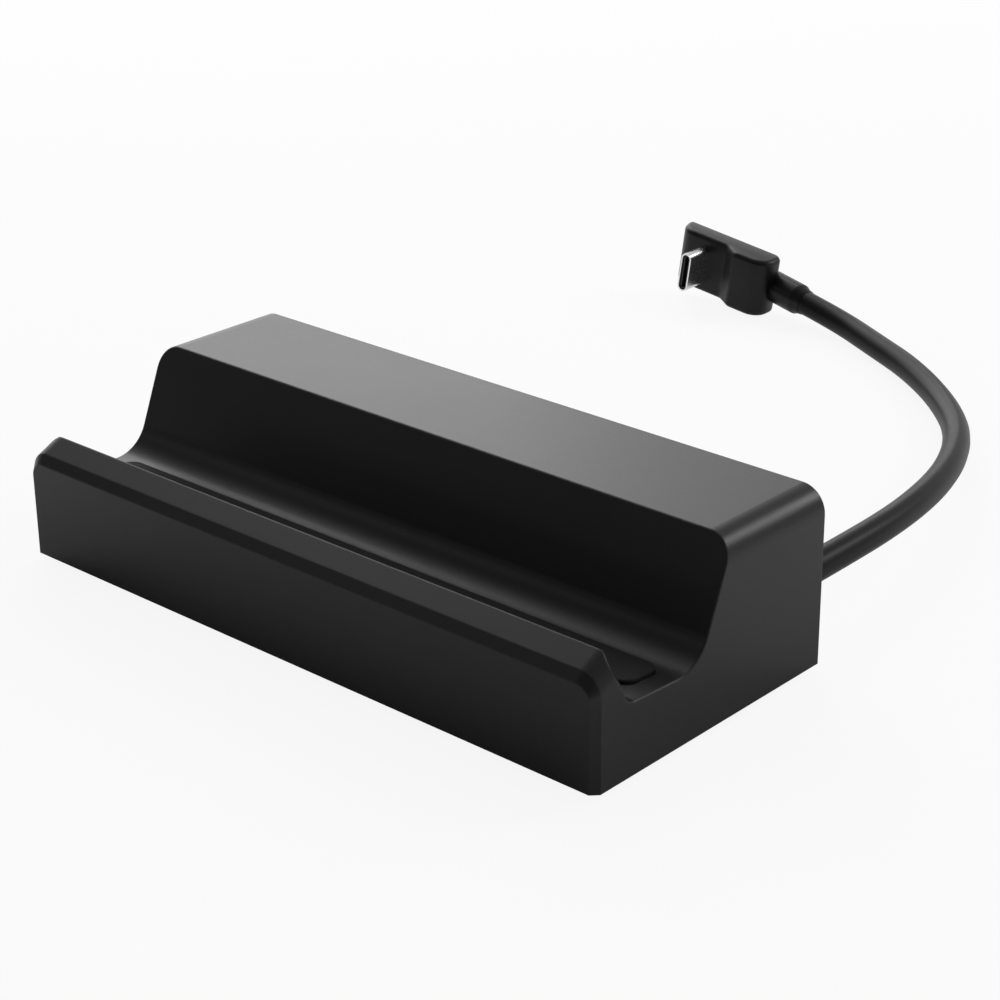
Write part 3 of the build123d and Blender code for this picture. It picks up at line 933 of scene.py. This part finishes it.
@dataclass
class CradlePad:
    """Rubber strip in the trough, which the console stands on, and the moulded rim round it.

    Attributes:
        centre: Middle of the trough's floor under the strip.
        tilt: Fall of the floor towards the back, in degrees.
        length: Length of the strip.
        width: Width of the strip.
        corner_radius: Rounding of its plan.
        edge_radius: Rounding of its upper edge.
        sunk: How far it goes into the floor.
        proud: How far it stands over the floor.
        root: How far its sides are drawn in under the floor.
        root_depth: Depth under the floor where that starts.
        rim: Width of the flat band inside the upper edge.
        pocket_middle: Middle of the floor's pocket, from the strip's.
        pocket_size: Length and width of the pocket.
        pocket_radius: Rounding of the pocket's plan.
        groove: Width of the groove between the strip and the rim.
        rim_lap: How far the rim goes in under the pocket's edge.
        rim_drop: How far the rim lies under the floor.
    """

    centre: Point = (0.0, -10.9 * MM, 12.098 * MM)
    tilt: float = 3.0
    length: float = 109.9 * MM
    width: float = 7.6 * MM
    corner_radius: float = 2.2 * MM
    edge_radius: float = 0.3 * MM
    sunk: float = 0.55 * MM
    proud: float = 0.55 * MM
    root: float = 0.4 * MM
    root_depth: float = 0.05 * MM
    rim: float = 0.3 * MM
    pocket_middle: Pair = (0.0, -1.0 * MM)
    pocket_size: Pair = (111.7 * MM, 8.9 * MM)
    pocket_radius: float = 3.15 * MM
    groove: float = 0.15 * MM
    rim_lap: float = 0.8 * MM
    rim_drop: float = 0.004 * MM

    def levels(self) -> List[Pair]:
        """Rings of the strip from its underside to its top.

        Returns:
            Pairs of height over the floor and how far the outline is drawn in.
        """
        below = [(-self.sunk, self.root), (-2 * self.root_depth, self.root), (-self.root_depth, 0.0)]
        edge = [(self.proud - depth, draw) for depth, draw in reversed(rounded_edge(self.edge_radius))]
        return below + edge + [(self.proud, self.edge_radius + self.rim)]

    def ring(self, outline: Sequence[Vector], rise: float) -> List[Vector]:
        """Lift an outline in the strip's own plane to a height over the trough's floor."""
        place = Matrix.Translation(self.centre) @ Matrix.Rotation(math.radians(-self.tilt), 4, "X")
        return [place @ Vector((*point, rise)) for point in outline]

    def build(self, wardrobe: Wardrobe) -> List[bpy.types.Object]:
        """Mould the strip and the rim.

        Args:
            wardrobe: Source of their finishes.

        Returns:
            The strip and the rim.
        """
        plan = rounded_box((0.0, 0.0), (self.length, self.width), self.corner_radius)
        skin = ring_skin([self.ring(inset(plan, draw), rise) for rise, draw in self.levels()], "pad_skin")
        pad = dressed("pad_strip", skin, wardrobe, Slot.PAD, "cradle_pad")
        pocket = rounded_box(self.pocket_middle, self.pocket_size, self.pocket_radius)
        outer, inner = inset(pocket, -self.rim_lap), inset(plan, -self.groove)
        low, high = -self.sunk, -self.rim_drop
        corners = ((outer, low), (outer, high), (inner, high), (inner, low))
        skin = ring_skin([self.ring(*corner) for corner in corners], "rim_skin", looped=True)
        return [pad, dressed("pad_rim", skin, wardrobe, Slot.HOUSING)]


class Side(Enum):
    """Face of a tongue that carries contacts, as its outward direction."""

    ABOVE = (0.0, 0.0, 1.0)
    BELOW = (0.0, 0.0, -1.0)
    LEFT = (-1.0, 0.0, 0.0)


@dataclass
class ContactRow:
    """Row of plated contact blades on a socket's tongue.

    Attributes:
        name: Name of the piece.
        middle: Middle of the tongue's face at the row's front end.
        side: Face that carries the row.
        count: Number of blades.
        pitch: Distance between blades.
        width: Width of a blade.
        length: Length of a blade.
        thickness: Thickness of a blade.
    """

    name: str
    middle: Point
    side: Side
    count: int
    pitch: float
    width: float
    length: float
    thickness: float = 0.1 * MM

    @staticmethod
    def tree(material: bpy.types.Material) -> bpy.types.NodeTree:
        """Node tree that lays out a row of blades.

        Args:
            material: Finish of the blades.

        Returns:
            A tree with named inputs for the row's sizes.
        """
        made = bpy.data.node_groups.new("contact_row", "GeometryNodeTree")
        face = made.interface
        for name, kind in (
            ("Geometry", "Geometry"),
            ("Count", "Int"),
            ("First", "Vector"),
            ("Step", "Vector"),
            ("Blade", "Vector"),
        ):
            face.new_socket(name, in_out="INPUT", socket_type=f"NodeSocket{kind}")
        face.new_socket("Geometry", in_out="OUTPUT", socket_type="NodeSocketGeometry")
        given = made.nodes.new("NodeGroupInput")
        line = made.nodes.new("GeometryNodeMeshLine")
        blade = made.nodes.new("GeometryNodeMeshCube")
        spread = made.nodes.new("GeometryNodeInstanceOnPoints")
        real = made.nodes.new("GeometryNodeRealizeInstances")
        finish = made.nodes.new("GeometryNodeSetMaterial")
        result = made.nodes.new("NodeGroupOutput")
        line.mode = "OFFSET"
        finish.inputs["Material"].default_value = material
        for source, target in (
            (given.outputs["Count"], line.inputs["Count"]),
            (given.outputs["First"], line.inputs["Start Location"]),
            (given.outputs["Step"], line.inputs["Offset"]),
            (given.outputs["Blade"], blade.inputs["Size"]),
            (line.outputs["Mesh"], spread.inputs["Points"]),
            (blade.outputs["Mesh"], spread.inputs["Instance"]),
            (spread.outputs["Instances"], real.inputs["Geometry"]),
            (real.outputs["Geometry"], finish.inputs["Geometry"]),
            (finish.outputs["Geometry"], result.inputs["Geometry"]),
        ):
            made.links.new(source, target)
        return made

    def build(self, tree: bpy.types.NodeTree) -> bpy.types.Object:
        """Lay out the row and keep it as a plain mesh.

        Args:
            tree: The shared tree.

        Returns:
            The row.
        """
        outward = Vector(self.side.value)
        across = Vector((0, 0, 1)) if self.side is Side.LEFT else Vector((1, 0, 0))
        size = outward * self.thickness + across * self.width
        size = Vector([abs(part) for part in size]) + Vector((0, self.length, 0))
        first = Vector(self.middle) + outward * (self.thickness / 2) - Vector((0, self.length / 2, 0))
        first -= across * (self.pitch * (self.count - 1) / 2)
        row = add_object(self.name, bpy.data.meshes.new(self.name))
        modifier = row.modifiers.new("row", "NODES")
        modifier.node_group = tree
        inputs = [item for item in tree.interface.items_tree if item.in_out == "INPUT"]
        sockets = {item.name: item.identifier for item in inputs}
        values = {"Count": self.count, "First": first, "Step": across * self.pitch, "Blade": size}
        for name, value in values.items():
            modifier[sockets[name]] = tuple(value) if isinstance(value, Vector) else value
        graph = bpy.context.evaluated_depsgraph_get()
        plain = bpy.data.meshes.new_from_object(row.evaluated_get(graph), depsgraph=graph)
        row.modifiers.clear()
        row.data = plain
        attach(row, BODY)
        return row


@dataclass
class Tongue:
    """Flat tongue of a socket, with contacts above and below.

    Attributes:
        name: Name of the socket.
        x: Place along the dock.
        rise: Middle of the tongue over the board.
        half: Half its thickness.
        counts: Number of blades above and below.
        blade: Pitch, width and length of the blades, and their thickness where it is not the usual one.
    """

    name: str
    x: float
    rise: float
    half: float
    counts: Tuple[int, int]
    blade: Sequence[float]


@dataclass
class SocketContacts:
    """Contacts of the sockets along the back wall.

    Attributes:
        front: Front end of the contacts, just behind the tongues' ends.
        board_top: Upper face of the board.
        data_x: Places of the upright data sockets.
        data_face: Left face of a data tongue, from its socket's place.
        data_rise: Middle of a data tongue over the board.
        data_count: Number of blades on a data tongue.
        data_blade: Their pitch, width and length.
        tongues: The flat tongues.
    """

    front: float = 23.4 * MM
    board_top: float = 6.4 * MM
    data_x: Sequence[float] = (-30.66 * MM, -21.415 * MM, -12.17 * MM)
    data_face: float = -0.02 * MM
    data_rise: float = 6.55 * MM
    data_count: int = 4
    data_blade: Sequence[float] = (2.4 * MM, 1.1 * MM, 8.2 * MM)
    tongues: Sequence[Tongue] = (
        Tongue("display", 2.525 * MM, 2.75 * MM, 0.65 * MM, (10, 10), (1.15 * MM, 0.5 * MM, 6.6 * MM)),
        Tongue("video", 21.62 * MM, 2.75 * MM, 0.6 * MM, (10, 9), (1.0 * MM, 0.45 * MM, 5.6 * MM)),
        Tongue(
            "power", 36.885 * MM, 1.6 * MM, 0.4 * MM, (12, 12), (0.5 * MM, 0.25 * MM, 2.3 * MM, 0.06 * MM)
        ),
    )

    def rows(self) -> List[ContactRow]:
        """Every row, by socket.

        Returns:
            Rows of the data, display, video and power sockets.
        """
        rows = []
        for number, x in enumerate(self.data_x, start=1):
            middle = (x + self.data_face, self.front, self.board_top + self.data_rise)
            name = f"data_contacts_{number}"
            rows.append(ContactRow(name, middle, Side.LEFT, self.data_count, *self.data_blade))
        for index, side in enumerate((Side.ABOVE, Side.BELOW)):
            for tongue in self.tongues:
                face = self.board_top + tongue.rise + side.value[2] * tongue.half
                name = f"{tongue.name}_contacts_{side.name.lower()}"
                middle = (tongue.x, self.front, face)
                rows.append(ContactRow(name, middle, side, tongue.counts[index], *tongue.blade))
        return rows

    def build(self, wardrobe: Wardrobe) -> List[bpy.types.Object]:
        """Build every row from one tree."""
        tree = ContactRow.tree(wardrobe.material(Slot.CONTACT))
        return [row.build(tree) for row in self.rows()]


# Studio

@dataclass
class Softbox:
    """Large soft lamp that faces the dock.

    Attributes:
        name: Name of the lamp.
        towards: Direction from the dock to the lamp.
        distance: Distance of the lamp.
        size: Width and height of its face.
        brightness: Brightness of its face, where white paper is 1.
        aim: Point that it faces.
    """

    name: str
    towards: Point
    distance: float
    size: Pair
    brightness: float
    aim: Point = (0.0, 0.02, 0.01)

    def build(self) -> bpy.types.Object:
        """Hang the lamp.

        Returns:
            The lamp.
        """
        data = bpy.data.lights.new(self.name, "AREA")
        data.shape = "RECTANGLE"
        data.size, data.size_y = self.size
        data.energy = self.brightness * math.pi * self.size[0] * self.size[1]
        lamp = add_object(self.name, data)
        way = Vector(self.towards).normalized()
        lamp.location = Vector(self.aim) + way * self.distance
        lamp.rotation_euler = way.to_track_quat("Z", "Y").to_euler()
        return lamp


@dataclass
class Studio:
    """Pale floor, soft lamps, walls that are bright behind and dim in front, and the camera.

    Attributes:
        floor_size: Width of the floor.
        floor_white: Share of the floor that shows as plain white to the camera.
        floor_mirrored: The same share in mirrored rays, far from the dock, where it paints a reflection of a
            brighter floor.
        floor_reach: Distances over which that share grows from nothing; near the dock it is left out, so
            reflections show a darker floor there as painted shade.
        paper: Darkest and lightest grey of the floor's paper.
        mottle: Patches of the paper per metre.
        wall_front: Brightness of the walls in front of the dock.
        wall_back: Brightness of the walls behind it.
        wall_blend: Where the one turns into the other, from -1 in front to 1 behind.
        target: Point the camera looks at.
        azimuth: Turn of the camera to the right of the front, in degrees.
        elevation: Height of the camera, in degrees.
        distance: Distance from the target.
        near: Nearest distance that the camera shows.
        lens: Focal length in millimetres.
        frame_width: Width of the camera's frame in millimetres.
        shift: Shift of the frame, as shares of its width.
        softboxes: The lamps.
    """

    floor_size: float = 8.0
    floor_white: float = 0.9
    floor_mirrored: float = 0.6
    floor_reach: Pair = (70.0 * MM, 130.0 * MM)
    paper: Pair = (0.88, 0.92)
    mottle: float = 6.0
    wall_front: float = 0.13
    wall_back: float = 0.62
    wall_blend: Pair = (-0.55, 0.45)
    target: Point = (3.323 * MM, 28.746 * MM, 15.3 * MM)
    azimuth: float = 41.056
    elevation: float = 23.066
    distance: float = 381.408 * MM
    near: float = 10.0 * MM
    lens: float = 86.882
    frame_width: float = 36.0
    shift: Pair = (-0.04808, -0.030007)
    softboxes: Sequence[Softbox] = field(
        default_factory=lambda: (
            Softbox("rear_window", (-0.81, 0.47, 0.345), 0.9, (0.6, 0.5), 1.72),
            Softbox("low_strip", (-0.525, 0.815, 0.229), 0.95, (0.3, 0.14), 2.3),
            Softbox("overhead_box", (-0.60, 0.46, 0.65), 0.8, (0.5, 0.2), 3.6),
            Softbox("ceiling_box", (-0.59, 0.12, 0.80), 0.8, (0.4, 0.2), 0.6),
            Softbox("front_fill", (-0.60, -0.65, 0.47), 0.8, (0.35, 0.2), 0.42),
            Softbox("corner_strip", (0.41, 0.75, 0.53), 0.8, (0.26, 0.26), 5.8),
        )
    )

    def build_floor(self) -> bpy.types.Object:
        """Lay the floor.

        Returns:
            The floor.
        """
        half = self.floor_size / 2
        mesh = bpy.data.meshes.new("floor_sheet")
        mesh.from_pydata([(x * half, y * half, 0) for x, y in SQUARE], [], [(0, 1, 2, 3)])
        material = bpy.data.materials.new("floor_paper")
        material.use_nodes = True
        graph = Graph(material.node_tree)
        rays = ("Is Camera Ray", "Is Glossy Ray", "Is Transmission Ray")
        camera, mirrored, through = (graph.node("ShaderNodeLightPath", output=ray) for ray in rays)
        # Mirrored rays see a white glow only away from the dock. Far off it is a painted reflection of a
        # brighter floor; near the dock it fades out, leaving painted shade in what the dock's surfaces
        # reflect.
        place = graph.place()
        away = graph.node("ShaderNodeVectorMath", {"operation": "LENGTH"}, {0: place}, output="Value")
        painted_reflection_share = graph.node(
            "ShaderNodeMapRange",
            inputs={
                "Value": away,
                "From Min": self.floor_reach[0],
                "From Max": self.floor_reach[1],
                "To Min": 0.0,
                "To Max": self.floor_mirrored,
            },
        )
        white = camera * self.floor_white + (mirrored + through) * painted_reflection_share
        low, high = ((grey, grey, grey) for grey in self.paper)
        tint = graph.blend(graph.noise(self.mottle), low, high)
        paper = graph.node("ShaderNodeBsdfDiffuse", inputs={"Color": tint})
        glow = graph.node("ShaderNodeEmission", inputs={"Color": (1, 1, 1, 1), "Strength": 1.0})
        mixed = graph.node("ShaderNodeMixShader", inputs={0: white, 1: paper, 2: glow})
        graph.node("ShaderNodeOutputMaterial", inputs={"Surface": mixed})
        mesh.materials.append(material)
        floor = add_object("studio_floor", mesh)
        return floor

    def build_walls(self) -> None:
        """Set the world: walls that are bright behind the dock and dim in front of it."""
        world = bpy.data.worlds.new("studio_walls")
        bpy.context.scene.world = world
        world.use_nodes = True
        graph = Graph(world.node_tree)
        way = graph.node("ShaderNodeTexCoord", output="Generated")
        depth = graph.node("ShaderNodeSeparateXYZ", inputs={0: way}, output="Y")
        shade = graph.node(
            "ShaderNodeMapRange",
            {"interpolation_type": "SMOOTHSTEP"},
            {
                "Value": depth,
                "From Min": self.wall_blend[0],
                "From Max": self.wall_blend[1],
                "To Min": self.wall_front,
                "To Max": self.wall_back,
            },
        )
        walls = graph.node("ShaderNodeBackground", inputs={"Color": (1, 1, 1, 1), "Strength": shade})
        graph.node("ShaderNodeOutputWorld", inputs={"Surface": walls})

    def build_camera(self) -> bpy.types.Object:
        """Stand the camera where the photograph was taken from.

        Returns:
            The camera.
        """
        data = bpy.data.cameras.new("studio_camera")
        data.sensor_width = self.frame_width
        data.lens = self.lens
        data.shift_x, data.shift_y = self.shift
        data.clip_start = self.near
        camera = add_object("studio_camera", data)
        turn, rise = math.radians(self.azimuth), math.radians(self.elevation)
        way = Vector((math.cos(rise) * math.sin(turn), -math.cos(rise) * math.cos(turn), math.sin(rise)))
        camera.location = Vector(self.target) + way * self.distance
        camera.rotation_euler = way.to_track_quat("Z", "Y").to_euler()
        bpy.context.scene.camera = camera
        return camera

    def build(self) -> None:
        """Set up the whole studio."""
        bpy.context.scene.view_settings.view_transform = "Standard"
        self.build_walls()
        LOG.info("laid %s", self.build_floor().name)
        for box in self.softboxes:
            LOG.info("hung %s", box.build().name)
        LOG.info("stood %s", self.build_camera().name)


def main() -> None:
    """Dress the dock, set up the studio and report each piece."""
    logging.basicConfig(level=logging.INFO, format="%(name)s: %(message)s")
    wardrobe = Wardrobe()
    wardrobe.dress_solids()
    strips = CradlePad().build(wardrobe)
    plug = AnglePlug().build(wardrobe)
    sleeve = CableSleeve().build(wardrobe)
    cable = DataCable().build(wardrobe, [*plug, sleeve])
    rows = SocketContacts().build(wardrobe)
    for piece in (*strips, plug[0], sleeve, cable, *rows):
        LOG.info("built %s", piece.name)
    Studio().build()


if __name__ == "__main__":
    main()
